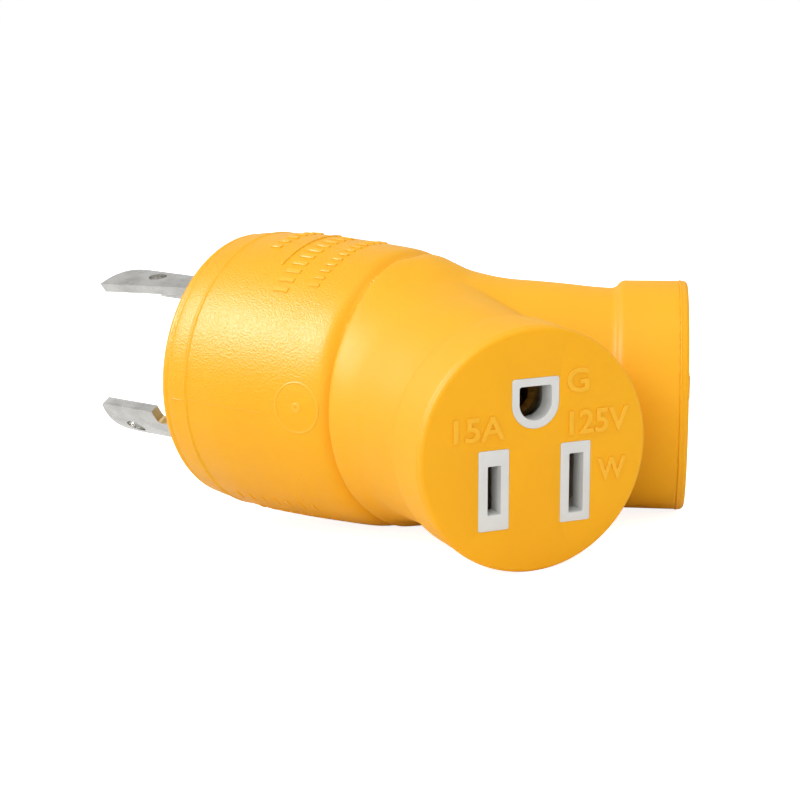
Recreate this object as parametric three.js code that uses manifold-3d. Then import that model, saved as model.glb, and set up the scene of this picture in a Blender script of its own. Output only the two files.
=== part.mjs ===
// Two-way 15 A / 125 V splitter: a moulded Y body with a three-blade locking plug on its stem
// and a straight-blade, grounded outlet on the end of each arm.
//
// Frame, in millimetres: the origin is the centre of the plug face. +X runs from the plug
// towards the outlets, along the plug's axis. The front arm leans to -Y and the rear arm to +Y.
// +Z is up: both outlets have their ground hole on the +Z side.
import * as THREE from "three";
import { mergeVertices } from "three/addons/utils/BufferGeometryUtils.js";
import Module from "manifold-3d";

const wasm = await Module();
wasm.setup();

// ---------------------------------------------------------------- driving dimensions
const GAP = 0.3; // clearance between pieces that touch on the real object
const ARM_ANGLE = 30.6; // degrees, each arm from the plug's axis
const FORK_X = 33.1; // where the two arm axes meet the plug's axis
const ARM_LENGTH = 42.0; // fork to outlet face
const HEAD_R = 17.45; // outlet head
const STEM = [ // x, radius of the moulded stem
  [0, 19.9], [0.45, 20.95], [1.6, 21.5], [5.4, 21.85], [12, 22.35], [18, 22.3],
  [24, 22.1], [30, 21.75], [33.5, 20.6], [37, 18.0], [40, 13.5],
];
const ARM = [ // distance from the fork, radius of the moulded arm
  [-6, 15], [-2, 19.4], [1, 20.7], [3.7, 20.65], [6, 19.8], [8.4, 18.85], [10.8, 18.3], [13.1, 17.8], [15.4, 17.5], [19, 17.25],
  [24, 16.8], [28, 16.4], [30.9, 16.25], [31.5, 16.75], [32.3, HEAD_R],
];
const FACE_FILLET = 1.1;
const FACE_CAP = 1.3; // moulded skin of the outlet face
const SEAM = 0.3; // the seam line behind the face skin
const PLUG_BORE_R = 17.2;
const PLUG_BORE_DEPTH = 21;
const STEM_BORE_R = 15.5;
const STEM_BORE_END = 31;
const ARM_BORE_R = 12.5;
const SOCKET_BORE_R = 14.2;
const SOCKET_BORE_DEPTH = 17.0; // from the outlet face

// outlet face, seen from outside: u to the right, v up, from the centre of the face
const GROUND_V = 6.9;
const GROUND_R = 2.72;
const GROUND_FLAT = 2.6;
const SLOT_V = GROUND_V - 11.887;
const SLOT_U = 6.35;
const HOT_SLOT = [2.0, 6.9];
const NEUTRAL_SLOT = [2.0, 8.4];
const ISLAND = [4.7, 11.5];
const GROUND_ISLAND_R = 3.8;
const GROUND_ISLAND_FLAT = 3.57;

// locking plug blades, on one circle about the plug's axis
const BLADE_T = 1.65;
const GROUND_BLADE = { at: 90, half: 21, root: 15, flare: 29, r: 13.1, length: 26.2 }; // root and flare: the one long edge that widens towards the tip
const HOT_BLADE = { at: 228.6, half: 18.4, r: 14.1, length: 21.6 };
const NEUTRAL_BLADE = { at: 311.4, half: 18.4, r: 14.1, length: 21.6 };
const BLADE_TAIL = 13;
const BLADE_TAIL_HALF = 9.6;
const LOCK_NOTCH = { from: 4.0, to: 10.2, slope: 0.1, depth: 11.3 }; // along the blade, and degrees of arc

const WIRE_R = 1.05;

// ---------------------------------------------------------------- colours
const YELLOW = new THREE.MeshStandardMaterial({ color: 0xfbb92d, roughness: 0.45, metalness: 0 });
const WHITE = new THREE.MeshStandardMaterial({ color: 0xdadcda, roughness: 0.5, metalness: 0 });
const CREAM = new THREE.MeshStandardMaterial({ color: 0xc9c6ba, roughness: 0.6, metalness: 0 });
const NICKEL = new THREE.MeshStandardMaterial({ color: 0xd2d1c8, roughness: 0.25, metalness: 1 });
const BRASS = new THREE.MeshStandardMaterial({ color: 0xb5893a, roughness: 0.35, metalness: 1 });
const BLACK_WIRE = new THREE.MeshStandardMaterial({ color: 0x1a1a1a, roughness: 0.5, metalness: 0 });
const WHITE_WIRE = new THREE.MeshStandardMaterial({ color: 0xe6e6e2, roughness: 0.5, metalness: 0 });
const GREEN_WIRE = new THREE.MeshStandardMaterial({ color: 0x1f7a3a, roughness: 0.5, metalness: 0 });

// ---------------------------------------------------------------- solids
const rad = (d) => (d * Math.PI) / 180;

// A closed geometry, placed by a matrix, as a manifold solid.
function solid(geometry, matrix = new THREE.Matrix4()) {
  let g = geometry.clone().applyMatrix4(matrix);
  g.deleteAttribute("normal");
  g.deleteAttribute("uv");
  g = mergeVertices(g, 1e-4);
  const tri = [];
  const index = g.index.array;
  for (let i = 0; i < index.length; i += 3) {
    const [a, b, c] = [index[i], index[i + 1], index[i + 2]];
    if (a !== b && b !== c && a !== c) tri.push(a, b, c);
  }
  const make = (t) =>
    new wasm.Manifold(
      new wasm.Mesh({
        numProp: 3,
        vertProperties: new Float32Array(g.attributes.position.array),
        triVerts: new Uint32Array(t),
      }),
    );
  let s = make(tri);
  if (s.volume() < 0) {
    for (let i = 0; i < tri.length; i += 3) [tri[i + 1], tri[i + 2]] = [tri[i + 2], tri[i + 1]];
    s = make(tri);
  }
  return s;
}

function meshOf(name, s, material) {
  const m = s.getMesh();
  const g = new THREE.BufferGeometry();
  const n = m.numProp;
  const pos = new Float32Array((m.vertProperties.length / n) * 3);
  for (let i = 0; i < pos.length / 3; i++)
    for (let j = 0; j < 3; j++) pos[3 * i + j] = m.vertProperties[i * n + j];
  g.setAttribute("position", new THREE.BufferAttribute(pos, 3));
  g.setIndex(new THREE.BufferAttribute(new Uint32Array(m.triVerts), 1));
  g.computeVertexNormals();
  const mesh = new THREE.Mesh(g, material);
  mesh.name = name;
  return mesh;
}

// Frames. A "station" frame has its own x and y across an axis and z along it.
const basis = (x, y, z, o) =>
  new THREE.Matrix4().makeBasis(x, y, z).setPosition(o.x, o.y, o.z);
const V = (x, y, z) => new THREE.Vector3(x, y, z);
const STEM_FRAME = basis(V(0, 1, 0), V(0, 0, 1), V(1, 0, 0), V(0, 0, 0)); // x=+Y, y=+Z, z=+X
function armFrame(side) { // side -1 is the front arm, +1 the rear arm; the origin is the outlet face's centre
  const n = V(Math.cos(rad(ARM_ANGLE)), side * Math.sin(rad(ARM_ANGLE)), 0);
  const up = V(0, 0, 1);
  const u = new THREE.Vector3().crossVectors(up, n);
  return basis(u, up, n, n.clone().multiplyScalar(ARM_LENGTH).add(V(FORK_X, 0, 0)));
}
const at = (frame, x, y, z) => frame.clone().multiply(new THREE.Matrix4().makeTranslation(x, y, z));

// A body of revolution about a station frame's z, from [z, r] points; it closes itself on the axis.
function turned(frame, profile, segments) {
  const pts = profile.map(([z, r]) => new THREE.Vector2(r, z));
  if (pts[0].x > 0) pts.unshift(new THREE.Vector2(0, pts[0].y));
  if (pts[pts.length - 1].x > 0) pts.push(new THREE.Vector2(0, pts[pts.length - 1].y));
  const toZ = new THREE.Matrix4().makeRotationX(Math.PI / 2);
  return solid(new THREE.LatheGeometry(pts, segments), frame.clone().multiply(toZ));
}
const drum = (frame, r, z0, z1, segments = 32) => turned(frame, [[z0, r], [z1, r]], segments);

// A prism along a station frame's z, from a 2-D outline.
function prism(frame, points, z0, z1) {
  const shape = new THREE.Shape(points.map(([x, y]) => new THREE.Vector2(x, y)));
  const g = new THREE.ExtrudeGeometry(shape, { depth: z1 - z0, bevelEnabled: false, steps: 1 });
  return solid(g, at(frame, 0, 0, z0));
}
const block = (frame, cx, cy, w, h, z0, z1) =>
  prism(frame, [[cx - w / 2, cy - h / 2], [cx + w / 2, cy - h / 2], [cx + w / 2, cy + h / 2], [cx - w / 2, cy + h / 2]], z0, z1);

function roundedRect(cx, cy, w, h, r, n = 3) {
  const p = [];
  for (const [sx, sy, a0] of [[1, 1, 0], [-1, 1, 90], [-1, -1, 180], [1, -1, 270]])
    for (let i = 0; i <= n; i++) {
      const a = rad(a0 + (90 * i) / n);
      p.push([cx + sx * (w / 2 - r) + r * Math.cos(a), cy + sy * (h / 2 - r) + r * Math.sin(a)]);
    }
  return p;
}
// The U-shaped outline of the ground opening: round below, flat on top.
function uShape(cy, r, flat, n = 10) {
  const p = [];
  for (let i = 0; i <= n; i++) {
    const a = rad(180 + (180 * i) / n);
    p.push([r * Math.cos(a), cy + r * Math.sin(a)]);
  }
  p.push([r, cy + flat - 0.35], [r - 0.35, cy + flat], [-r + 0.35, cy + flat], [-r, cy + flat - 0.35]);
  return p;
}
// Part of a ring between two angles.
function sector(rIn, rOut, a0, a1, n = 6) {
  const p = [];
  for (let i = 0; i <= n; i++) p.push([rOut * Math.cos(rad(a0 + ((a1 - a0) * i) / n)), rOut * Math.sin(rad(a0 + ((a1 - a0) * i) / n))]);
  for (let i = n; i >= 0; i--) p.push([rIn * Math.cos(rad(a0 + ((a1 - a0) * i) / n)), rIn * Math.sin(rad(a0 + ((a1 - a0) * i) / n))]);
  return p;
}

const root = new THREE.Group();
const FRONT = armFrame(-1);
const REAR = armFrame(1);

// ---------------------------------------------------------------- the moulded body
const armProfile = (end, fillet) => {
  const p = ARM.map(([s, r]) => [s - ARM_LENGTH, r]);
  if (fillet) p.push([end - fillet, HEAD_R], [end, HEAD_R - fillet]);
  else p.push([end, HEAD_R]);
  return p;
};
{
  let s = turned(STEM_FRAME, STEM, 44);
  for (const f of [FRONT, REAR]) s = s.add(turned(f, armProfile(-FACE_CAP - SEAM, 0), 40));
  s = s.subtract(drum(STEM_FRAME, PLUG_BORE_R, -1, PLUG_BORE_DEPTH));
  s = s.subtract(drum(STEM_FRAME, STEM_BORE_R, PLUG_BORE_DEPTH - 1, STEM_BORE_END));
  for (const f of [FRONT, REAR]) {
    s = s.subtract(drum(f, ARM_BORE_R, -ARM_LENGTH - 1, -SOCKET_BORE_DEPTH + 1, 24));
    s = s.subtract(drum(f, SOCKET_BORE_R, -SOCKET_BORE_DEPTH, 1));
  }
  root.add(meshOf("body_jacket", s, YELLOW));
}

// ---------------------------------------------------------------- the plug
const blades = { ground: GROUND_BLADE, hot: HOT_BLADE, neutral: NEUTRAL_BLADE };
const bladeSlots = (s, z0, z1) => {
  for (const b of Object.values(blades))
    s = s.subtract(prism(STEM_FRAME, sector(b.r - BLADE_T - GAP, b.r + GAP, b.at - b.half - 1.4, b.at + (b.root ?? b.half) + 1.4), z0, z1));
  // the foot on the ground blade's edge
  return s.subtract(block(STEM_FRAME, 4.1, 10.3, 2.1, 4.8, z0, z1));
};
{
  let s = turned(STEM_FRAME, [[0, PLUG_BORE_R - GAP], [5.7, PLUG_BORE_R - GAP]], 32);
  root.add(meshOf("plug_face_disc", bladeSlots(s, -1, 6), WHITE));
  s = drum(STEM_FRAME, PLUG_BORE_R - GAP, 6, 9);
  root.add(meshOf("plug_retainer", bladeSlots(s, 5, 10), CREAM));
  s = drum(STEM_FRAME, PLUG_BORE_R - GAP, 9.3, 20.6);
  for (const b of Object.values(blades)) {
    const r = b.r - BLADE_T / 2;
    s = s.subtract(drum(at(STEM_FRAME, r * Math.cos(rad(b.at)), r * Math.sin(rad(b.at)), 0), 2.9, 8, 22, 14));
  }
  s = s.subtract(drum(STEM_FRAME, 7.5, 8, 22, 20));
  root.add(meshOf("plug_core", s, CREAM));
}
for (const [name, b] of Object.entries(blades)) {
  let s = prism(STEM_FRAME, sector(b.r - BLADE_T, b.r, b.at - b.half, b.at + (b.flare ?? b.half), 8), -b.length, 8.7);
  const tail = prism(STEM_FRAME, sector(b.r - BLADE_T, b.r, b.at - BLADE_TAIL_HALF, b.at + BLADE_TAIL_HALF, 4), 8, BLADE_TAIL);
  const mid = b.r - BLADE_T / 2;
  const radial = (deg, x) => { // a station frame whose z runs outwards through the blade
    const o = V(x, 0, 0), out = V(0, Math.cos(rad(deg)), Math.sin(rad(deg)));
    const along = V(1, 0, 0);
    return basis(new THREE.Vector3().crossVectors(along, out), along, out, o);
  };
  if (b.flare) {
    // the long edge that narrows from the tip to the root
    const c = -b.r * Math.sin(rad(b.flare - b.root));
    s = s.subtract(prism(radial(b.at + b.flare, -b.length), [[0, -0.2], [4, -0.2], [4, 40], [c, 40], [c, b.length]], 6, mid + 3));
  }
  s = s.add(tail);
  // round hole near the tip
  s = s.subtract(drum(name === "ground" ? radial(b.at + 8.4, -17.3) : radial(b.at + 4.1, -17), name === "ground" ? 1.5 : 1.7, mid - 3, mid + 3, 14));
  if (name === "ground") {
    // inward foot on one long edge, from near the tip to the face
    s = s.add(prism(STEM_FRAME, [[3.45, 8.35], [4.75, 8.35], [4.75, 11.9], [3.45, 12.3]], -21.9, 3));
    // oblique tip, rounded away towards the foot's edge
    s = s.subtract(prism(radial(b.at - b.half, -b.length), [[-1.5, -1], [10, -1], [10, 0], [5.95, 1.2], [3.6, 1.9], [1.4, 3.1], [0, 4.6], [-1.5, 4.6]], 6, mid + 3));
  } else {
    // lock notch on the edge that leads into the twist, with a sloped end towards the tip
    const edge = b.at - b.half;
    const w = (deg) => mid * rad(deg);
    const n = LOCK_NOTCH;
    s = s.subtract(
      prism(radial(edge, 0), [[-1.5, -n.to - n.slope], [w(n.depth), -n.to + n.slope], [w(n.depth), -n.from], [-1.5, -n.from]], mid - 3, mid + 3),
    );
    // rounded tip corner on the trailing edge, a slight one on the leading edge
    s = s.subtract(prism(radial(b.at + b.half, -b.length), [[-3.4, -1], [1.5, -1], [1.5, 3.2], [0, 3.2], [-0.5, 1.8], [-1.6, 0.6], [-3.4, 0]], mid - 3, mid + 3));
    s = s.subtract(prism(radial(edge, -b.length), [[-1.5, -1], [3, -1], [3, 0], [0, 0.6], [-1.5, 0.6]], mid - 3, mid + 3));
  }
  root.add(meshOf(name + "_blade", s, NICKEL));
  // crimp barrel on the blade's tail, where the two arms' wires join it
  const r = mid;
  root.add(meshOf(name + "_splice", drum(at(STEM_FRAME, r * Math.cos(rad(b.at)), r * Math.sin(rad(b.at)), 0), 2.3, BLADE_TAIL + GAP, 20, 14), BRASS));
}

// ---------------------------------------------------------------- the two outlets
const CONTACT_FRONT = -5.8;
const CONTACT_BACK = -15.4;
const LINE_WIRE_V = -8.9;
const GROUND_WIRE_V = 9.6;
for (const [label, f] of [["front", FRONT], ["rear", REAR]]) {
  const islands = (grow) => [
    roundedRect(-SLOT_U, SLOT_V, ISLAND[0] + 2 * grow, ISLAND[1] + 2 * grow, 0.9, 2),
    roundedRect(SLOT_U, SLOT_V, ISLAND[0] + 2 * grow, ISLAND[1] + 2 * grow, 0.9, 2),
    uShape(GROUND_V, GROUND_ISLAND_R + grow, GROUND_ISLAND_FLAT + grow),
  ];
  // face skin with windows for the insulator's islands
  let cap = turned(f, [[-FACE_CAP, HEAD_R], [-FACE_FILLET, HEAD_R], [-FACE_FILLET * 0.3, HEAD_R - FACE_FILLET * 0.3], [0, HEAD_R - FACE_FILLET]], 40);
  for (const p of islands(0.2)) cap = cap.subtract(prism(f, p, -3, 1));
  root.add(meshOf(label + "_face_cap", cap, YELLOW));

  // insulator with its three islands, two slots and ground opening
  let ins = drum(f, SOCKET_BORE_R - GAP, -5, -FACE_CAP - SEAM);
  for (const p of islands(0)) ins = ins.add(prism(f, p, -4, 0));
  ins = ins.subtract(block(f, -SLOT_U, SLOT_V, HOT_SLOT[0], HOT_SLOT[1], -10, 1));
  ins = ins.subtract(block(f, SLOT_U, SLOT_V, NEUTRAL_SLOT[0], NEUTRAL_SLOT[1], -10, 1));
  ins = ins.subtract(prism(f, uShape(GROUND_V, GROUND_R, GROUND_FLAT), -10, 1));
  root.add(meshOf(label + "_insulator", ins, WHITE));

  // contact housing behind the insulator
  let box = drum(f, SOCKET_BORE_R - GAP, -16.7, -5.3);
  for (const u of [-SLOT_U, SLOT_U]) box = box.subtract(block(f, u, -5.2, 4.9, 9.6, -18, -4));
  box = box.subtract(block(f, 0, GROUND_V, 7.6, 7.6, -18, -4));
  root.add(meshOf(label + "_contact_housing", box, CREAM));

  // folded line contacts, two flared leaves joined by a web below them, open at the back
  for (const [pole, u] of [["hot", -SLOT_U], ["neutral", SLOT_U]]) {
    let c = block(f, u, -5.2, 4.3, 9.0, CONTACT_BACK, CONTACT_FRONT);
    c = c.subtract(prism(at(f, u, 0, 0), [[-0.55, -8.7], [0.55, -8.7], [0.55, 1], [-0.55, 1]], -17, -5));
    const across = basis(V(1, 0, 0), V(0, 0, 1), V(0, -1, 0), V(0, 0, 0)); // drawn across the slot and along the arm
    c = c.subtract(prism(at(f, u, 1, 0).multiply(across), [[-1.25, -5], [-1.25, -6], [-0.5, -7.8], [0.5, -7.8], [1.25, -6], [1.25, -5]], 0, 9.7));
    root.add(meshOf(`${label}_${pole}_contact`, c, BRASS));
  }
  // tubular ground contact
  let tube = turned(at(f, 0, GROUND_V, 0), [[CONTACT_BACK, 3.5], [CONTACT_FRONT, 3.5]], 16);
  tube = tube.subtract(turned(at(f, 0, GROUND_V, 0), [[-16, 2.25], [-6.8, 2.25], [-5, 3.2]], 16));
  root.add(meshOf(label + "_ground_contact", tube, BRASS));
}

// ---------------------------------------------------------------- the wires
function wire(name, points, material) {
  const curve = new THREE.CatmullRomCurve3(points, false, "centripetal");
  const ring = [];
  for (let i = 0; i < 8; i++) ring.push(new THREE.Vector2(WIRE_R * Math.cos(rad(45 * i)), WIRE_R * Math.sin(rad(45 * i))));
  const g = new THREE.ExtrudeGeometry(new THREE.Shape(ring), { extrudePath: curve, steps: 12, bevelEnabled: false });
  root.add(meshOf(name, solid(g), material));
}
const polar = (deg, r, x) => V(x, r * Math.cos(rad(deg)), r * Math.sin(rad(deg)));
const inArm = (frame, u, v, w) => V(u, v, w).applyMatrix4(frame);
const WIRE_END = CONTACT_BACK - GAP;
const tailR = (b) => b.r - BLADE_T / 2;
for (const [label, f, side] of [["front", FRONT, -1], ["rear", REAR, 1]]) {
  const start = (b, shift) => {
    const p = polar(b.at, tailR(b), 20.55);
    p.y += shift;
    return p;
  };
  const lead = (b, shift) => {
    const p = polar(b.at, tailR(b) - 1.4, 24);
    p.y += shift * 1.2;
    return p;
  };
  const run = (b, shift, u, v, mid) => [start(b, shift), lead(b, shift), ...mid, inArm(f, u, v, -18.6), inArm(f, u, v, WIRE_END)];
  const s = side * 1.35;
  // the two wires that cross the centre pass at different heights
  const cross = (z) => [V(38.5, 0, z)];
  wire(label + "_hot_wire", run(HOT_BLADE, s, -SLOT_U, LINE_WIRE_V, side < 0 ? [inArm(f, -5.2, -6.4, -32)] : cross(-8.3)), BLACK_WIRE);
  wire(label + "_neutral_wire", run(NEUTRAL_BLADE, s, SLOT_U, LINE_WIRE_V, side > 0 ? [inArm(f, 5.2, -6.4, -32)] : cross(-4.6)), WHITE_WIRE);
  wire(label + "_ground_wire", run(GROUND_BLADE, s, 0, GROUND_WIRE_V, [inArm(f, 0, 8.2, -31)]), GREEN_WIRE);
}

export default root;
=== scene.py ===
import math
import bpy
import bmesh
import numpy as np
from mathutils import Matrix, Vector


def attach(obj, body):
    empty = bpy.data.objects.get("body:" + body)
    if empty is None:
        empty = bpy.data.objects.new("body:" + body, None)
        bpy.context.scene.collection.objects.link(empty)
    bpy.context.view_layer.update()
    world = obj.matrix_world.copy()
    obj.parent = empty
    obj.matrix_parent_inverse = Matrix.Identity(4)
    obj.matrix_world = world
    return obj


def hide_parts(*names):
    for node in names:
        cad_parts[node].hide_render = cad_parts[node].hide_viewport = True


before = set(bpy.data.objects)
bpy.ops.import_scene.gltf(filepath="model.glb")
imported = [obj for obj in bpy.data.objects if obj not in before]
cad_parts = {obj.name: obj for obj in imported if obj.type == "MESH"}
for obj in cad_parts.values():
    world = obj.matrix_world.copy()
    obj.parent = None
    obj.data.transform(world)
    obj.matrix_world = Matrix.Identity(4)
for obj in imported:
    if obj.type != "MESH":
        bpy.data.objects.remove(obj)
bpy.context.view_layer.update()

MM = 0.001


scene = bpy.context.scene

# ------------------------------------------------------------------ dimensions, mm
ARM_ANGLE = math.radians(30.6)
FORK_X = 33.1
ARM_LENGTH = 42.0
HEAD_R = 17.45
FACE_CAP = 1.3
CREASE_X = 33.4
RIM_END = 5.6
STEM = np.array([[-2, 21.2], [0, 21.45], [2, 21.62], [5.4, 21.92], [9, 22.22], [12, 22.36], [18, 22.3],
                 [24, 22.1], [30, 21.8], [33, 21.25], [35, 20.4], [36.5, 19.3], [38, 17.6], [40, 14.4], [42, 9.0], [44, 0.5], [47, -4]])
ARM = np.array([[-10, 9], [-6, 15], [-2, 18.8], [2, 20.2], [4, 19.95], [6, 19.3], [8.4, 18.55], [10.8, 18.1], [13.1, 17.7], [15.4, 17.42], [19, 17.2],
                [24, 16.8], [28, 16.42], [30.5, 16.3], [31.15, 16.5], [31.7, 17.15], [32.4, HEAD_R], [36, HEAD_R + 0.03], [44, HEAD_R + 0.08]])
GROUND_V, GROUND_R, GROUND_FLAT = 6.9, 2.5, 2.4
SLOT_U, SLOT_V = 6.35, 6.9 - 11.887
HOT_SLOT, NEUTRAL_SLOT, ISLAND = (2.05, 7.0), (2.25, 8.6), (4.7, 11.5)
GROUND_ISLAND_R, GROUND_ISLAND_FLAT = 3.64, 3.55
BLADE_T = 1.65
# angle, half width in degrees, half width of the other edge at the root, radius, length
BLADES = {"ground": (90, 21, 15, 13.1, 26.2), "hot": (228.6, 18.4, 18.4, 14.1, 21.6), "neutral": (311.4, 18.4, 18.4, 14.1, 21.6)}
FLARE = 29
NOTCH = dict(start=4.0, end=10.2, slope=0.1, depth=11.3)


def pchip(t):
    """Monotone cubic through the table's points, and its slope."""
    x, y = t[:, 0], t[:, 1]
    h = np.diff(x)
    d = np.diff(y) / h
    m = np.zeros_like(y)
    m[1:-1] = np.where(d[1:] * d[:-1] > 0, 2 * d[1:] * d[:-1] / (d[1:] + d[:-1] + 1e-30), 0)
    m[0], m[-1] = d[0], d[-1]

    def f(q):
        i = np.clip(np.searchsorted(x, q) - 1, 0, len(h) - 1)
        s = np.clip((q - x[i]) / h[i], 0, 1)
        v = (2 * s**3 - 3 * s**2 + 1) * y[i] + (s**3 - 2 * s**2 + s) * h[i] * m[i] + (-2 * s**3 + 3 * s**2) * y[i + 1] + (s**3 - s**2) * h[i] * m[i + 1]
        v = v + np.where(q > x[-1], (q - x[-1]) * d[-1], 0) + np.where(q < x[0], (q - x[0]) * d[0], 0)
        g = (6 * s**2 - 6 * s) * (y[i] - y[i + 1]) / h[i] + (3 * s**2 - 4 * s + 1) * m[i] + (3 * s**2 - 2 * s) * m[i + 1]
        return v, g

    return f


stem_r, arm_r = pchip(STEM), pchip(ARM)


def arm_axes(side):
    n = np.array([math.cos(ARM_ANGLE), side * math.sin(ARM_ANGLE), 0.0])
    u = np.cross([0, 0, 1.0], n)
    return n, u


# ------------------------------------------------------------------ the jacket's surface
def smin(a, b, k):
    h = np.clip(0.5 + 0.5 * (b - a) / k, 0, 1)
    return b * (1 - h) + a * h - k * h * (1 - h)


def jacket(P):
    x, y, z = P[:, 0], P[:, 1], P[:, 2]
    rho = np.hypot(y, z)
    r, g = stem_r(x)
    stem = (rho - r) / np.sqrt(1 + np.minimum(g * g, 4))
    crease = CREASE_X - 0.035 * z
    stem = stem + 0.75 * np.exp(-((x - crease) / 1.1) ** 2)
    arms = []
    bore = np.maximum(rho - 17.2, x - 21)
    bore = np.minimum(bore, np.maximum(rho - 15.5, x - 31))
    for side in (-1, 1):
        n, u = arm_axes(side)
        s = (x - FORK_X) * n[0] + y * n[1]
        q = np.hypot((x - FORK_X) * u[0] + y * u[1], z)
        r, g = arm_r(s)
        end = ARM_LENGTH - FACE_CAP + 0.06
        # the arms swell a little towards the shoulder where they leave the stem
        r = r + 0.9 * np.exp(-(np.maximum(x - crease, 0) / 5.0) ** 2) * (s < 20)
        d = (q - r) / np.sqrt(1 + np.minimum(g * g, 2))
        # the mould's parting step just behind the face skin
        arms.append(np.maximum(d, s - end))
        bore = np.minimum(bore, np.maximum(np.maximum(q - 12.5, -1 - s), s - 26))
        bore = np.minimum(bore, np.maximum(q - 14.2, 25 - s))
    a = smin(arms[0], arms[1], 0.4)
    a = -smin(-a, x - crease, 0.75)
    f = smin(stem, a, 0.3)
    f = np.maximum(f, RIM_END - x)
    return np.maximum(f, -bore)


def surface_net(fn, lo, hi, h):
    ax = [np.arange(lo[i], hi[i] + h, h) for i in range(3)]
    shape = tuple(len(a) for a in ax)
    F = np.empty(shape, np.float32)
    Y, Z = np.meshgrid(ax[1], ax[2], indexing="ij")
    for i, x in enumerate(ax[0]):
        P = np.stack([np.full(Y.size, x), Y.ravel(), Z.ravel()], 1)
        F[i] = fn(P).reshape(Y.shape)
    S = F < 0
    n = np.zeros(tuple(s - 1 for s in shape), np.int8)
    for a in (0, 1):
        for b in (0, 1):
            for c in (0, 1):
                n += S[a: shape[0] - 1 + a, b: shape[1] - 1 + b, c: shape[2] - 1 + c]
    act = (n > 0) & (n < 8)
    idx = np.full(act.shape, -1, np.int64)
    cells = np.argwhere(act)
    idx[act] = np.arange(len(cells))
    acc = np.zeros((len(cells), 3))
    cnt = np.zeros(len(cells))
    for axis in range(3):
        o = [i for i in range(3) if i != axis]
        for p in (0, 1):
            for q in (0, 1):
                c0 = cells.copy()
                c0[:, o[0]] += p
                c0[:, o[1]] += q
                c1 = c0.copy()
                c1[:, axis] += 1
                f0, f1 = F[tuple(c0.T)].astype(float), F[tuple(c1.T)].astype(float)
                m = (f0 < 0) != (f1 < 0)
                t = np.where(m, f0 / np.where(m, f0 - f1, 1), 0)
                pt = c0.astype(float)
                pt[:, axis] += t
                acc[m] += pt[m]
                cnt[m] += 1
    V = acc / cnt[:, None] * h + np.array(lo)
    quads = []
    for axis in range(3):
        a, b = (axis + 1) % 3, (axis + 2) % 3
        sl0 = [slice(None)] * 3
        sl1 = [slice(None)] * 3
        sl0[axis], sl1[axis] = slice(0, -1), slice(1, None)
        s0, s1 = S[tuple(sl0)], S[tuple(sl1)]
        e = np.argwhere(s0 != s1)
        e = e[(e[:, a] > 0) & (e[:, b] > 0) & (e[:, a] < shape[a] - 1) & (e[:, b] < shape[b] - 1)]
        inside = s0[tuple(e.T)]
        q = []
        for da, db in ((-1, -1), (0, -1), (0, 0), (-1, 0)):
            c = e.copy()
            c[:, a] += da
            c[:, b] += db
            q.append(idx[tuple(c.T)])
        q = np.stack(q, 1)
        q[~inside] = q[~inside][:, ::-1]
        quads.append(q)
    quads = np.vstack(quads)
    # settle every vertex on the surface itself
    for _ in range(4):
        f = fn(V)
        g = np.stack([(fn(V + d) - fn(V - d)) / 0.04 for d in np.eye(3) * 0.02], 1)
        step = -(f / np.maximum((g * g).sum(1), 0.3))[:, None] * g
        L = np.linalg.norm(step, axis=1, keepdims=True)
        V = V + step * np.minimum(1, 0.3 * h / np.maximum(L, 1e-9))
    return V, quads


def mesh_from(name, V, F):
    me = bpy.data.meshes.new(name)
    V = np.asarray(V, np.float64) * MM
    F = [tuple(int(i) for i in f) for f in F]
    me.from_pydata([tuple(v) for v in V], [], F)
    me.update()
    return me


def link(name, me):
    o = bpy.data.objects.new(name, me)
    scene.collection.objects.link(o)
    return o


def frame_matrix(x, y, z, o):
    m = Matrix.Identity(4)
    for c, v in enumerate((x, y, z)):
        for r in range(3):
            m[r][c] = float(v[r])
    for r in range(3):
        m[r][3] = float(o[r])
    return m


STEM_FRAME = frame_matrix((0, 1, 0), (0, 0, 1), (1, 0, 0), (0, 0, 0))


def face_frame(side):
    n, u = arm_axes(side)
    return frame_matrix(u, (0, 0, 1), n, n * ARM_LENGTH + np.array([FORK_X, 0, 0]))


def prism(points, fr, z0, z1):
    """Outline in a frame's x and y, carried along its z, in mm."""
    bm = bmesh.new()
    lo = [bm.verts.new(fr @ Vector((p[0], p[1], z0))) for p in points]
    hi = [bm.verts.new(fr @ Vector((p[0], p[1], z1))) for p in points]
    bm.faces.new(lo[::-1])
    bm.faces.new(hi)
    for i in range(len(points)):
        j = (i + 1) % len(points)
        bm.faces.new((lo[i], lo[j], hi[j], hi[i]))
    bmesh.ops.recalc_face_normals(bm, faces=bm.faces)
    return bm


def turned(profile, fr, seg):
    """[z, r] points turned about a frame's z; ends with r = 0 close on the axis, otherwise the profile closes on itself."""
    bm = bmesh.new()
    rings = []
    for z, r in profile:
        if r < 1e-6:
            rings.append([bm.verts.new(fr @ Vector((0, 0, z)))])
        else:
            rings.append([bm.verts.new(fr @ Vector((r * math.cos(2 * math.pi * i / seg), r * math.sin(2 * math.pi * i / seg), z))) for i in range(seg)])
    closed = profile[0][1] > 1e-6
    pairs = list(zip(rings, rings[1:])) + ([(rings[-1], rings[0])] if closed else [])
    for a, b in pairs:
        for i in range(seg):
            j = (i + 1) % seg
            if len(a) == 1 and len(b) == 1:
                continue
            if len(a) == 1:
                bm.faces.new((a[0], b[j], b[i]))
            elif len(b) == 1:
                bm.faces.new((a[i], a[j], b[0]))
            else:
                bm.faces.new((a[i], a[j], b[j], b[i]))
    bmesh.ops.recalc_face_normals(bm, faces=bm.faces)
    return bm


def as_object(bm, name):
    me = bpy.data.meshes.new(name)
    bm.to_mesh(me)
    bm.free()
    me.transform(Matrix.Scale(MM, 4))
    return link(name, me)


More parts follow.
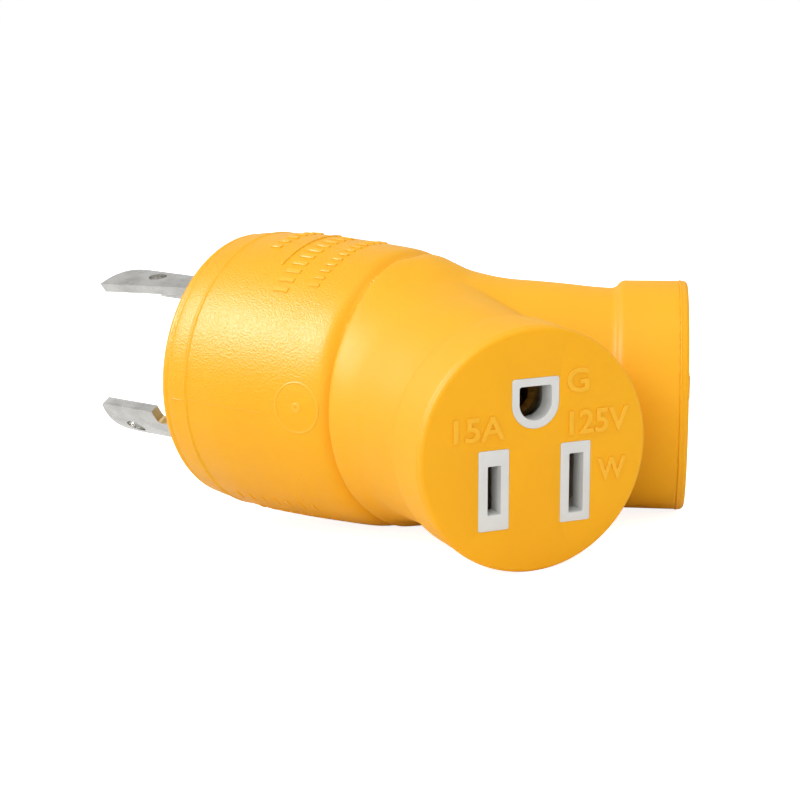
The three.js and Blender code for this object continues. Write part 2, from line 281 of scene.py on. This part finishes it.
def applied(o):
    dg = bpy.context.evaluated_depsgraph_get()
    me = bpy.data.meshes.new_from_object(o.evaluated_get(dg))
    old = o.data
    o.modifiers.clear()
    o.data = me
    bpy.data.meshes.remove(old)
    return o


def combine(o, tool, op="DIFFERENCE"):
    # booleans work on millimetre-sized numbers, well above the solver's tolerance
    for q in (o, tool):
        q.data.transform(Matrix.Scale(1000, 4))
    m = o.modifiers.new("b", "BOOLEAN")
    m.operation, m.object, m.solver = op, tool, "EXACT"
    applied(o)
    o.data.transform(Matrix.Scale(0.001, 4))
    t = tool.data
    bpy.data.objects.remove(tool)
    bpy.data.meshes.remove(t)
    return o


def cut(o, bm):
    return combine(o, as_object(bm, "tool"))


def add(o, bm):
    return combine(o, as_object(bm, "tool"), "UNION")


def tidy(o, dist, flat=0):
    # booleans leave slivers: short edges are merged, and faces flat to within the given angle are joined
    bm = bmesh.new()
    bm.from_mesh(o.data)
    bmesh.ops.remove_doubles(bm, verts=bm.verts, dist=dist * MM)
    bmesh.ops.dissolve_degenerate(bm, edges=bm.edges, dist=dist * MM)
    if flat:
        bmesh.ops.dissolve_limit(bm, angle_limit=math.radians(flat), verts=bm.verts, edges=bm.edges)
    bm.to_mesh(o.data)
    bm.free()
    return o


def bevel(o, width, angle=40, segments=2):
    m = o.modifiers.new("bv", "BEVEL")
    m.width, m.segments, m.limit_method, m.angle_limit = width * MM, segments, "ANGLE", math.radians(angle)
    m.use_clamp_overlap = True
    return applied(o)


def smooth(o, angle=32):
    o.data.polygons.foreach_set("use_smooth", [True] * len(o.data.polygons))
    o.data.set_sharp_from_angle(angle=math.radians(angle))
    return o


def joined(parts, name):
    bm = bmesh.new()
    for p in parts:
        me = p.data
        bm.from_mesh(me)
        bpy.data.objects.remove(p)
        bpy.data.meshes.remove(me)
    me = bpy.data.meshes.new(name)
    bm.to_mesh(me)
    bm.free()
    return link(name, me)


def rounded_rect(cx, cy, w, h, r, n=6):
    p = []
    for sx, sy, a0 in ((1, 1, 0), (-1, 1, 90), (-1, -1, 180), (1, -1, 270)):
        for i in range(n + 1):
            a = math.radians(a0 + 90 * i / n)
            p.append((cx + sx * (w / 2 - r) + r * math.cos(a), cy + sy * (h / 2 - r) + r * math.sin(a)))
    return p


def u_shape(cy, r, flat, c=1.0, n=28):
    """Round below, flat on top, with small corner radii."""
    p = [(r * math.cos(math.radians(180 + 180 * i / n)), cy + r * math.sin(math.radians(180 + 180 * i / n))) for i in range(n + 1)]
    for sx in (1, -1):
        q = []
        for i in range(7):
            a = math.radians(90 * i / 6)
            q.append((sx * (r - c + c * math.cos(a)), cy + flat - c + c * math.sin(a)))
        p += q if sx == 1 else q[::-1]
    return p


def sector(r0, r1, a0, a1, n=24):
    t = [math.radians(a0 + (a1 - a0) * i / n) for i in range(n + 1)]
    return [(r1 * math.cos(a), r1 * math.sin(a)) for a in t] + [(r0 * math.cos(a), r0 * math.sin(a)) for a in t[::-1]]


# ------------------------------------------------------------------ node materials
def nodes_of(mat):
    mat.use_nodes = True
    nt = mat.node_tree
    nt.nodes.clear()
    out = nt.nodes.new("ShaderNodeOutputMaterial")
    b = nt.nodes.new("ShaderNodeBsdfPrincipled")
    nt.links.new(b.outputs[0], out.inputs[0])
    return nt, b


def coords(nt, scale):
    tc = nt.nodes.new("ShaderNodeTexCoord")
    mp = nt.nodes.new("ShaderNodeMapping")
    mp.inputs["Scale"].default_value = scale
    nt.links.new(tc.outputs["Object"], mp.inputs[0])
    return mp.outputs[0]


def noise(nt, vec, scale, detail=3, rough=0.5):
    n = nt.nodes.new("ShaderNodeTexNoise")
    n.inputs["Scale"].default_value = scale
    n.inputs["Detail"].default_value = detail
    n.inputs["Roughness"].default_value = rough
    nt.links.new(vec, n.inputs["Vector"])
    return n.outputs[0]


def ramp(nt, fac, stops):
    r = nt.nodes.new("ShaderNodeValToRGB")
    e = r.color_ramp.elements
    e[0].position, e[0].color = stops[0][0], (*stops[0][1], 1)
    e[1].position, e[1].color = stops[-1][0], (*stops[-1][1], 1)
    for pos, col in stops[1:-1]:
        k = e.new(pos)
        k.color = (*col, 1)
    nt.links.new(fac, r.inputs[0])
    return r.outputs[0]


def remap(nt, fac, lo, hi, a=0.0, b=1.0):
    m = nt.nodes.new("ShaderNodeMapRange")
    m.inputs["From Min"].default_value, m.inputs["From Max"].default_value = a, b
    m.inputs["To Min"].default_value, m.inputs["To Max"].default_value = lo, hi
    nt.links.new(fac, m.inputs["Value"])
    return m.outputs[0]


def math_node(nt, op, a, b=None):
    m = nt.nodes.new("ShaderNodeMath")
    m.operation = op
    for i, v in enumerate((a, b)):
        if v is None:
            continue
        if isinstance(v, (int, float)):
            m.inputs[i].default_value = v
        else:
            nt.links.new(v, m.inputs[i])
    return m.outputs[0]


def bump(nt, height, strength, distance, chain=None):
    b = nt.nodes.new("ShaderNodeBump")
    b.inputs["Distance"].default_value = distance
    if isinstance(strength, (int, float)):
        b.inputs["Strength"].default_value = strength
    else:
        nt.links.new(strength, b.inputs["Strength"])
    nt.links.new(height, b.inputs["Height"])
    if chain is not None:
        nt.links.new(chain, b.inputs["Normal"])
    return b.outputs[0]


def vinyl(name, base, dark, light, grain):
    """Moulded soft vinyl: slight colour clouding, fine leather grain whose strength falls off away from the stem, soft sheen."""
    mat = bpy.data.materials.new(name)
    nt, b = nodes_of(mat)
    v = coords(nt, (1, 1, 1))
    big = noise(nt, v, 45, 2)
    col = ramp(nt, big, [(0.30, dark), (0.5, base), (0.72, light)])
    nt.links.new(col, b.inputs["Base Color"])
    # leather grain: small cells with soft edges, broken up by noise
    vor = nt.nodes.new("ShaderNodeTexVoronoi")
    vor.feature = "SMOOTH_F1"
    vor.inputs["Scale"].default_value = 3600
    warp = nt.nodes.new("ShaderNodeVectorMath")
    warp.operation = "ADD"
    nz = nt.nodes.new("ShaderNodeTexNoise")
    nz.inputs["Scale"].default_value = 1500
    nz.inputs["Detail"].default_value = 2
    nt.links.new(v, nz.inputs["Vector"])
    sc = nt.nodes.new("ShaderNodeVectorMath")
    sc.operation = "SCALE"
    sc.inputs["Scale"].default_value = 0.0004
    nt.links.new(nz.outputs["Color"], sc.inputs[0])
    nt.links.new(v, warp.inputs[0])
    nt.links.new(sc.outputs[0], warp.inputs[1])
    nt.links.new(warp.outputs[0], vor.inputs["Vector"])
    fine = noise(nt, v, 4600, 4, 0.6)
    height = math_node(nt, "ADD", vor.outputs["Distance"], math_node(nt, "MULTIPLY", fine, 0.6))
    sep = nt.nodes.new("ShaderNodeSeparateXYZ")
    nt.links.new(v, sep.inputs[0])
    strength = remap(nt, sep.outputs["X"], grain[0], grain[1], 0.026, 0.036)
    n1 = bump(nt, height, strength, 0.00010)
    n2 = bump(nt, noise(nt, v, 160, 3), 0.06, 0.0006, n1)
    nt.links.new(n2, b.inputs["Normal"])
    dull = remap(nt, sep.outputs["X"], 0.0, 0.16, 0.030, 0.037)
    nt.links.new(math_node(nt, "ADD", remap(nt, noise(nt, v, 320, 4), 0.34, 0.44), dull), b.inputs["Roughness"])
    b.inputs["Specular IOR Level"].default_value = 0.27
    b.inputs["Subsurface Weight"].default_value = 0.08
    b.inputs["Subsurface Radius"].default_value = (1.0, 0.45, 0.08)
    b.inputs["Subsurface Scale"].default_value = 0.0012
    return mat


def plastic(name, base, dark, rough=(0.35, 0.5), grain=900, depth=0.00004, spec=0.5, sss=0.0):
    mat = bpy.data.materials.new(name)
    nt, b = nodes_of(mat)
    v = coords(nt, (1, 1, 1))
    nt.links.new(ramp(nt, noise(nt, v, 120, 4), [(0.3, dark), (0.7, base)]), b.inputs["Base Color"])
    nt.links.new(remap(nt, noise(nt, v, grain * 0.4, 4), *rough), b.inputs["Roughness"])
    nt.links.new(bump(nt, noise(nt, v, grain, 5, 0.6), 0.35, depth), b.inputs["Normal"])
    b.inputs["Specular IOR Level"].default_value = spec
    b.inputs["Subsurface Weight"].default_value = sss
    b.inputs["Subsurface Radius"].default_value = (1, 1, 1)
    b.inputs["Subsurface Scale"].default_value = 0.0008
    return mat


def metal(name, base, dull, rough=(0.2, 0.36), along=(40, 2600, 2600), depth=0.00002, scratch=True):
    """Plated or bare sheet metal with fine drawing lines along the part, faint tarnish and a few scratches."""
    mat = bpy.data.materials.new(name)
    nt, b = nodes_of(mat)
    b.inputs["Metallic"].default_value = 1
    v = coords(nt, along)
    lines = noise(nt, v, 1.0, 6, 0.65)
    w = coords(nt, (1, 1, 1))
    cloud = noise(nt, w, 260, 4)
    nt.links.new(ramp(nt, cloud, [(0.32, dull), (0.6, base)]), b.inputs["Base Color"])
    nt.links.new(remap(nt, math_node(nt, "ADD", math_node(nt, "MULTIPLY", lines, 0.6), math_node(nt, "MULTIPLY", cloud, 0.4)), *rough, 0.3, 0.7), b.inputs["Roughness"])
    n1 = bump(nt, lines, 0.5, depth)
    if scratch:
        s = noise(nt, coords(nt, (300, 4200, 1100)), 1.0, 2, 0.4)
        n1 = bump(nt, ramp(nt, s, [(0.62, (0, 0, 0)), (0.68, (1, 1, 1))]), 0.25, 0.00002, n1)
    nt.links.new(n1, b.inputs["Normal"])
    b.inputs["Anisotropic"].default_value = 0.35
    return mat


YELLOW = vinyl("yellow_vinyl", (0.92, 0.435, 0.004), (0.90, 0.415, 0.003), (0.935, 0.45, 0.005), (0.62, 0.14))
YELLOW_FACE = vinyl("yellow_vinyl_face", (0.92, 0.425, 0.003), (0.90, 0.41, 0.0025), (0.93, 0.44, 0.004), (0.14, 0.12))
# the raised marks are the same vinyl, given a lighter, whiter copy: a painted highlight for the light their raised tops
# catch
YELLOW_MARK_PAINTED_LIGHT = vinyl("yellow_vinyl_raised_painted_highlight", (0.945, 0.47, 0.022), (0.93, 0.45, 0.018), (0.955, 0.49, 0.028), (0.1, 0.1))
WHITE = plastic("white_insulator", (0.72, 0.725, 0.705), (0.66, 0.665, 0.645), (0.34, 0.5), 1100, 0.00003, 0.5, 0.1)
CREAM = plastic("cream_insulator", (0.50, 0.46, 0.38), (0.42, 0.38, 0.31), (0.45, 0.6))
NICKEL = metal("nickel_plate", (0.64, 0.635, 0.61), (0.50, 0.495, 0.47), (0.22, 0.36))
BARE = metal("bare_brass_edge", (0.62, 0.47, 0.24), (0.46, 0.33, 0.15), (0.3, 0.5))
BRASS = metal("brass_contact", (0.66, 0.44, 0.16), (0.48, 0.30, 0.09), (0.28, 0.45))
BLACK_W = plastic("black_wire", (0.02, 0.02, 0.02), (0.012, 0.012, 0.012), (0.4, 0.55))
WHITE_W = plastic("white_wire", (0.75, 0.75, 0.72), (0.66, 0.66, 0.63), (0.4, 0.55))
GREEN_W = plastic("green_wire", (0.02, 0.2, 0.05), (0.012, 0.14, 0.035), (0.4, 0.55))


def finish(o, mat, slot, *replaced):
    o.data.materials.clear()
    for m in mat if isinstance(mat, (list, tuple)) else (mat,):
        o.data.materials.append(m)
    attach(o, "root")
    if replaced:
        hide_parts(*replaced)
    return o


# ------------------------------------------------------------------ the moulded jacket
def bar(x, deg, w, h, height=0.22, edge=0.11):
    """A plain raised bar on the stem: w along it, h around it, in mm, with eased edges."""
    across = [(-w / 2, -0.35), (-w / 2, 0.55 * height), (-w / 2 + edge, height)]
    nx = max(1, int(w / 0.8))
    across += [(-w / 2 + edge + (w - 2 * edge) * i / nx, height) for i in range(1, nx)]
    across += [(w / 2 - edge, height), (w / 2, 0.55 * height), (w / 2, -0.35)]
    ny = max(1, int(h / 0.6))
    stations = [(-h / 2, 0.55)] + [(-h / 2 + edge + (h - 2 * edge) * i / ny, 1.0) for i in range(ny + 1)] + [(h / 2, 0.55)]
    bm = bmesh.new()
    rows = []
    for b, k in stations:
        t = math.radians(deg) + b / 22.2
        row = []
        for a, z in across:
            r = float(stem_r(np.array([x + a]))[0][0]) + (min(z, height * k) if z > 0 else z)
            row.append(bm.verts.new((x + a, r * math.cos(t), r * math.sin(t))))
        rows.append(row)
    n = len(across)
    for p, q in zip(rows, rows[1:]):
        for i in range(n):
            j = (i + 1) % n
            bm.faces.new((p[i], p[j], q[j], q[i]))
    bm.faces.new(rows[0][::-1])
    bm.faces.new(rows[-1])
    bmesh.ops.recalc_face_normals(bm, faces=bm.faces)
    return bm


def ring_relief(x, deg, r0, r1, seg=72):
    """A plain raised ring on the stem's side."""
    R = 22.2
    V, rings = [], [(r0, -0.35), (r0, 0.03), (r0 + 0.09, 0.085), (r1 - 0.09, 0.085), (r1, 0.03), (r1, -0.35)]
    for r, h in rings:
        for i in range(seg):
            a = 2 * math.pi * i / seg
            xx, t = x + r * math.cos(a), math.radians(deg) + r * math.sin(a) / R
            rr = float(stem_r(np.array([xx]))[0][0]) + h
            V.append((xx, rr * math.cos(t), rr * math.sin(t)))
    bm = bmesh.new()
    vs = [bm.verts.new(v) for v in V]
    m = len(rings)
    for k in range(m):
        for i in range(seg):
            j = (i + 1) % seg
            a, b = k * seg, ((k + 1) % m) * seg
            bm.faces.new((vs[a + i], vs[a + j], vs[b + j], vs[b + i]))
    bmesh.ops.recalc_face_normals(bm, faces=bm.faces)
    return bm


CELL = 0.36
V, Q = surface_net(jacket, (RIM_END - 1.5, -40, -24), (82, 40, 24), CELL)
body = link("jacket_shell", mesh_from("jacket_shell", V, Q))
ground_h = None

# the plug end's rim: a turned ring with a rounded lip, a fine step behind it and a low bead over the ring line
stem_at = lambda x: float(stem_r(np.array([float(x)]))[0][0])
rim = [(0, 17.2), (0, 20.0)]
rim += [(1.05 - 1.05 * math.cos(a), 20.36 + 1.05 * math.sin(a)) for a in np.linspace(0.15, math.pi / 2, 9)]
rim += [(1.25, 21.40), (1.4, 21.33), (1.6, 21.34), (1.78, 21.46), (2.1, 21.56)]
rim += [(x, stem_at(x)) for x in (2.6, 3.4, 4.2, 4.9, 5.2)]
rim += [(5.3, stem_at(5.3) + 0.04), (5.42, stem_at(5.42) + 0.16), (5.56, stem_at(5.56) + 0.21), (5.72, stem_at(5.72) + 0.17), (5.9, stem_at(5.9) + 0.03), (6.0, stem_at(6.0) + 0.0), (6.15, stem_at(6.15) - 0.25)]
rim += [(5.5, 21.2), (5.5, 17.2)]
rim_o = as_object(turned(rim, STEM_FRAME, 192), "rim")
parts = [body, rim_o]

# plain raised marks in place of the maker's lettering
MARKS = []
MARKS += [bar(19.2, d, 2.7, 0.85) for d in np.arange(86, 137, 5.1)]
MARKS += [bar(24.5, d, 1.8, 0.62) for d in np.arange(80, 130, 4.3)]
MARKS += [bar(11.8, d, 2.0, 0.8) for d in np.arange(80, 108, 5.4)]
MARKS += [bar(16.2, 99, 0.34, 15.5)]
MARKS += [bar(x, 231, 0.62, 2.2, 0.16) for x in np.arange(9.5, 27, 2.5)]
MARKS += [bar(x, 243, 0.5, 1.5, 0.14) for x in np.arange(11, 27, 2.1)]
MARKS += [bar(13.6, 182.6, 14.8, 0.16, 0.05), bar(3.6, 183.4, 3.0, 0.2, 0.12)]
MARKS += [ring_relief(27.4, 178.6, 3.7, 4.02), ring_relief(27.4, 178.6, 0.25, 0.8, 28)]
plain = sum(len(p.data.polygons) for p in parts)
parts += [as_object(m, "mark") for m in MARKS]
jacket_o = smooth(joined(parts, "jacket"), 38)
# the raised marks take the lighter vinyl copy, a painted highlight on their tops
finish(jacket_o, [YELLOW, YELLOW_MARK_PAINTED_LIGHT], "yellow_jacket", "body_jacket")
jacket_o.data.polygons.foreach_set("material_index", [0 if i < plain else 1 for i in range(len(jacket_o.data.polygons))])

# ------------------------------------------------------------------ outlets
def text_mesh(body_text, size, height):
    c = bpy.data.curves.new("t", "FONT")
    c.body, c.size, c.extrude, c.offset = body_text, size, height, 0.045
    c.bevel_depth, c.bevel_resolution = 0.06, 1
    c.align_x, c.align_y = "CENTER", "CENTER"
    c.resolution_u = 5
    o = bpy.data.objects.new("t", c)
    scene.collection.objects.link(o)
    me = bpy.data.meshes.new_from_object(o.evaluated_get(bpy.context.evaluated_depsgraph_get()))
    bpy.data.objects.remove(o)
    bpy.data.curves.remove(c)
    return me


for label, side in (("front", -1), ("rear", 1)):
    fr = face_frame(side)
    islands = lambda g: (rounded_rect(-SLOT_U, SLOT_V, ISLAND[0] + 2 * g, ISLAND[1] + 2 * g, 0.3 + g),
                         rounded_rect(SLOT_U, SLOT_V, ISLAND[0] + 2 * g, ISLAND[1] + 2 * g, 0.3 + g),
                         u_shape(GROUND_V, GROUND_ISLAND_R + g, GROUND_ISLAND_FLAT + g, 0.45 + g))
    R = HEAD_R + 0.08
    prof = [(-FACE_CAP + 0.1, 0), (-FACE_CAP + 0.1, 14.0), (-FACE_CAP - 0.1, 14.0), (-FACE_CAP - 0.1, R - 0.2), (-FACE_CAP + 0.0, R + 0.06), (-FACE_CAP + 0.12, R + 0.10), (-FACE_CAP + 0.24, R + 0.05), (-FACE_CAP + 0.36, R - 0.01)]
    f = 0.7
    prof += [(-f + f * math.sin(a), R - 0.02 - f + f * math.cos(a)) for a in np.linspace(0, math.pi / 2, 9)]
    prof += [(0, 0)]
    cap = as_object(turned(prof, fr, 160), label + "_cap")
    for p in islands(0.035):
        cut(cap, prism(p, fr, -3, 1))
    bevel(cap, 0.10, 55, 2)
    marks = []
    for word, u, v, size, wide in (("G", 6.55, 9.4, 4.7, 1.1), ("125V", 9.4, 3.35, 4.7, 1.02), ("15A", -9.2, 3.75, 4.7, 1.1), ("W", 12.0, -3.8, 4.5, 0.92)):
        me = text_mesh(word, size, 0.18)
        me.transform(fr @ Matrix.Translation((u, v, 0.0)) @ Matrix.Diagonal((wide, 1, 1, 1)))
        me.transform(Matrix.Scale(MM, 4))
        marks.append(link("t", me))
    plain = len(cap.data.polygons)
    cap = joined([cap] + marks, label + "_cap")
    smooth(cap, 35)
    # the face letters take the lighter vinyl copy, a painted highlight on their raised tops
    finish(cap, [YELLOW_FACE, YELLOW_MARK_PAINTED_LIGHT], "yellow_jacket", label + "_face_cap")
    cap.data.polygons.foreach_set("material_index", [0 if i < plain else 1 for i in range(len(cap.data.polygons))])

    # the insert is a shallow cup: the slots open into the dark space in front of the contacts
    ins = as_object(turned([(-3.0, 0), (-3.0, 12.2), (-5, 12.2), (-5, 13.9), (-1.6, 13.9), (-1.6, 0)], fr, 96), label + "_insert")
    for p in islands(0):
        add(ins, prism(p, fr, -2.5, -0.02))
    for p in (rounded_rect(-SLOT_U + 0.1, SLOT_V, *HOT_SLOT, 0.12, 2), rounded_rect(SLOT_U + 0.15, SLOT_V - 0.2, *NEUTRAL_SLOT, 0.12, 2), u_shape(GROUND_V, GROUND_R, GROUND_FLAT, 0.35)):
        cut(ins, prism(p, fr, -8, 1))
    bevel(ins, 0.16, 50, 3)
    tidy(ins, 0.002)
    smooth(ins, 35)
    finish(ins, WHITE, "white_insulator", label + "_insulator")

# ------------------------------------------------------------------ plug face and blades
disc_prof = [(5.7, 0), (5.7, 16.9), (0.35, 16.9), (0.1, 16.8), (0, 16.55), (0, 15.9), (0.25, 15.7), (0.25, 15.2), (0, 15.0), (0, 0)]
disc = as_object(turned(disc_prof, STEM_FRAME, 160), "plug_disc")
for name, (at, half, root, r, length) in BLADES.items():
    cut(disc, prism(sector(r - BLADE_T - 0.25, r + 0.25, at - half - 1.2, at + root + 1.2), STEM_FRAME, -1, 7))
cut(disc, prism([(3.1, 8.0), (5.1, 8.0), (5.1, 12.3), (3.1, 12.3)], STEM_FRAME, -1, 7))
bevel(disc, 0.12, 55, 2)
smooth(disc, 35)
finish(disc, WHITE, "white_insulator", "plug_face_disc")


def radial(deg, x):
    """A frame whose z runs outwards through the blade at that angle, y along +X."""
    out = Vector((0, math.cos(math.radians(deg)), math.sin(math.radians(deg))))
    along = Vector((1, 0, 0))
    return frame_matrix(along.cross(out), along, out, (x, 0, 0))


for name, (at, half, root, r, length) in BLADES.items():
    MID = r - BLADE_T / 2
    far = FLARE if name == "ground" else half
    b = as_object(prism(sector(r - BLADE_T, r, at - half, at + far, 28), STEM_FRAME, -length, 8.7), name)
    if name == "ground":
        c = -r * math.sin(math.radians(FLARE - root))
        cut(b, prism([(0, -0.2), (4, -0.2), (4, 40), (c, 40), (c, length)], radial(at + far, -length), 6, MID + 3))
    add(b, prism(sector(r - BLADE_T, r, at - 9.6, at + 9.6, 12), STEM_FRAME, 8, 13))
    hole, hr = (radial(at + 8.4, -17.3), 1.5) if name == "ground" else (radial(at + 4.1, -17.0), 1.65)
    cut(b, turned([(MID - 3, 0), (MID - 3, hr), (MID + 3, hr), (MID + 3, 0)], hole, 40))
    if name == "ground":
        add(b, prism([(3.45, 8.5), (3.6, 8.35), (4.6, 8.35), (4.75, 8.5), (4.75, 11.9), (3.45, 12.3)], STEM_FRAME, -21.9, 3))
        cut(b, prism([(-1.5, -1), (10, -1), (10, 0), (5.95, 1.2), (4.8, 1.5), (3.6, 1.95), (2.4, 2.5), (1.4, 3.2), (0.6, 3.9), (0, 4.7), (-1.5, 4.7)], radial(at - half, -length), 6, MID + 3))
    else:
        w = MID * math.radians(NOTCH["depth"])
        e = radial(at - half, 0)
        cut(b, prism([(-1.5, -NOTCH["end"] - NOTCH["slope"]), (w - 0.3, -NOTCH["end"] + NOTCH["slope"]), (w, -NOTCH["end"] + NOTCH["slope"] + 0.4), (w, -NOTCH["start"] - 0.3), (w - 0.3, -NOTCH["start"]), (-1.5, -NOTCH["start"])], e, MID - 3, MID + 3))
        cut(b, prism([(-3.4, -1), (1.5, -1), (1.5, 3.2), (0, 3.2), (-0.3, 2.2), (-0.9, 1.25), (-1.8, 0.5), (-3.4, 0)], radial(at + half, -length), MID - 3, MID + 3))
        cut(b, prism([(-1.5, -1), (3, -1), (3, 0), (0.4, 0.25), (0, 0.7), (-1.5, 0.7)], radial(at - half, -length), MID - 3, MID + 3))
    tidy(b, 0.02, 0.05)
    bevel(b, 0.15, 50, 2)
    tidy(b, 0.004)
    smooth(b, 35)
    finish(b, [NICKEL, BARE], "nickel_blade", name + "_blade")
    b.name = b.data.name = name + "_blade_shaped"
    if name != "ground":
        for poly in b.data.polygons:
            c = poly.center * 1000
            ang = math.degrees(math.atan2(c.z, c.y)) % 360
            out = abs(poly.normal.y * math.cos(math.radians(ang)) + poly.normal.z * math.sin(math.radians(ang)))
            if NOTCH["start"] - 0.3 <= -c.x <= NOTCH["end"] + 0.9 and ang < at - half + NOTCH["depth"] + 1.2 and out < 0.6:
                poly.material_index = 1

# ------------------------------------------------------------------ pieces kept from the CAD
for n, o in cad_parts.items():
    if o.hide_render:
        continue
    mat = (BRASS if n.endswith(("_contact", "_splice")) else BLACK_W if n.endswith("hot_wire") else WHITE_W if n.endswith("neutral_wire")
           else GREEN_W if n.endswith("ground_wire") else CREAM)
    if not o.material_slots:
        o.data.materials.append(mat)
    for s in o.material_slots:
        s.link = "OBJECT"
        s.material = mat

# ------------------------------------------------------------------ camera
yaw, pitch, roll = 0.6246513, 0.2285129, -0.0016280
fwd = np.array([-math.sin(yaw) * math.cos(pitch), math.cos(yaw) * math.cos(pitch), -math.sin(pitch)])
right = np.array([math.cos(yaw), math.sin(yaw), 0.0])
up = np.cross(right, fwd)
r2 = math.cos(roll) * right + math.sin(roll) * up
u2 = -math.sin(roll) * right + math.cos(roll) * up
eye = (24.92696 * r2 - 5.90522 * u2 - 375.25795 * fwd) * MM
cam = bpy.data.cameras.new("camera")
cam.sensor_width, cam.lens = 36.0, 2297.7367 * 36 / 800
cam.clip_start, cam.clip_end = 0.01, 20
cam_o = bpy.data.objects.new("camera", cam)
cam_o.matrix_world = frame_matrix(r2, u2, -fwd, eye)
scene.collection.objects.link(cam_o)
scene.camera = cam_o

# ------------------------------------------------------------------ floor and light
AMBIENT, KEY, TOP, FRONT, GLOSS = 0.665, 2.2, 3.0, 2.2, 11.5
tilt = math.radians(6.6)
nrm = np.array([-math.sin(tilt), 0, math.cos(tilt)])
co = np.zeros(len(jacket_o.data.vertices) * 3)
jacket_o.data.vertices.foreach_get("co", co)
h = float((-(co.reshape(-1, 3) @ nrm)).max()) + 0.0001
fl = bmesh.new()
S = 12.0
t1 = np.array([math.cos(tilt), 0, math.sin(tilt)])
t2 = np.array([0, 1.0, 0])
c0 = -nrm * h
for a, b_ in ((-S, -S), (S, -S), (S, S), (-S, S)):
    fl.verts.new(Vector(c0 + t1 * a + t2 * b_))
fl.faces.new(fl.verts[:])
me = bpy.data.meshes.new("floor")
fl.to_mesh(me)
fl.free()
floor = link("floor", me)
fm = bpy.data.materials.new("floor_paper")
nt, b = nodes_of(fm)
v = coords(nt, (1, 1, 1))
nt.links.new(ramp(nt, noise(nt, v, 30, 3), [(0.3, (0.88, 0.88, 0.88)), (0.7, (0.90, 0.90, 0.90))]), b.inputs["Base Color"])
b.inputs["Roughness"].default_value = 0.9
b.inputs["Specular IOR Level"].default_value = 0.0
b.inputs["Emission Color"].default_value = (1, 1, 1, 1)
lit = nt.nodes.new("ShaderNodeLightPath")
nt.links.new(remap(nt, lit.outputs["Is Camera Ray"], 0.0, 0.85), b.inputs["Emission Strength"])
floor.data.materials.append(fm)

world = bpy.data.worlds.new("studio")
scene.world = world
world.use_nodes = True
wt = world.node_tree
bg = wt.nodes["Background"]
bg.inputs[0].default_value = (1, 1, 1, 1)
# the sweep behind the object is plain white; the room's own light is a little softer
lp = wt.nodes.new("ShaderNodeLightPath")
mr = wt.nodes.new("ShaderNodeMapRange")
mr.inputs["To Min"].default_value = AMBIENT
mr.inputs["To Max"].default_value = 1.0
wt.links.new(lp.outputs["Is Camera Ray"], mr.inputs["Value"])
dim = remap(wt, lp.outputs["Is Glossy Ray"], 1.0, 0.95)
wt.links.new(math_node(wt, "MULTIPLY", mr.outputs[0], dim), bg.inputs[1])


def softbox(name, pos, target, size, power, colour=(1, 1, 1)):
    L = bpy.data.lights.new(name, "AREA")
    L.shape, L.size, L.size_y, L.energy, L.color = "RECTANGLE", size[0], size[1], power, colour
    o = bpy.data.objects.new(name, L)
    o.location = pos
    d = Vector(target) - Vector(pos)
    o.rotation_euler = d.to_track_quat("-Z", "Y").to_euler()
    scene.collection.objects.link(o)
    return o


mid_pt = (0.035, 0, 0)
GLOSS_AT = (0.035 - 0.622 * 0.8, -0.542 * 0.8, 0.563 * 0.8)
softbox("key", (-0.62 * 0.9, -0.50 * 0.9, 0.60 * 0.9), mid_pt, (0.24, 0.24), KEY)
gloss = softbox("gloss", GLOSS_AT, mid_pt, (0.30, 0.30), GLOSS)
gloss.visible_diffuse = False
softbox("top", (0.10, -0.15, 0.95), mid_pt, (0.8, 0.8), TOP)
softbox("front", (0.35, -0.95, 0.25), mid_pt, (0.7, 0.7), FRONT)

scene.view_settings.view_transform = "Standard"
scene.view_settings.look = "None"
